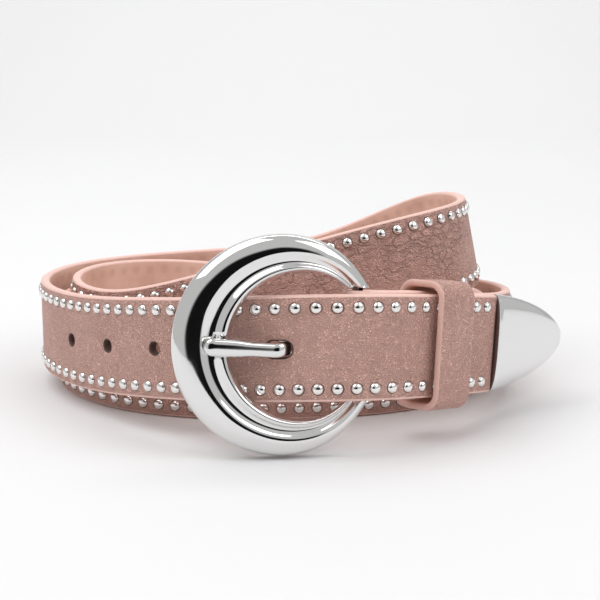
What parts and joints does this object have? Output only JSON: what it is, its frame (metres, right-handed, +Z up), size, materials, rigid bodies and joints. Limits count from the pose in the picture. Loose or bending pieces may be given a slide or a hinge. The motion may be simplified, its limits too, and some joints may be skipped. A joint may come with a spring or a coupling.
{
  "type": "studded belt",
  "caption": "Studded leather belt, buckled and wound into a standing coil, with a crescent buckle, a keeper loop and a metal tip cap.",
  "frame": {"origin": "middle of the bounding box's underside, on the floor the coil stands on", "axes": "+X along the front of the coil towards the tip cap, +Y from the buckle to the back of the coil, +Z up"},
  "size_m": [0.1756, 0.159, 0.0632],
  "materials": {
    "leather": "matt, finely pebbled, dusty pink",
    "polished_metal": "polished"
  },
  "bodies": {
    "root": {"strap": "leather", "keeper": "leather", "buckle_frame": "polished_metal", "tongue": "polished_metal", "tip_cap": "polished_metal"}
  },
  "joints": []
}
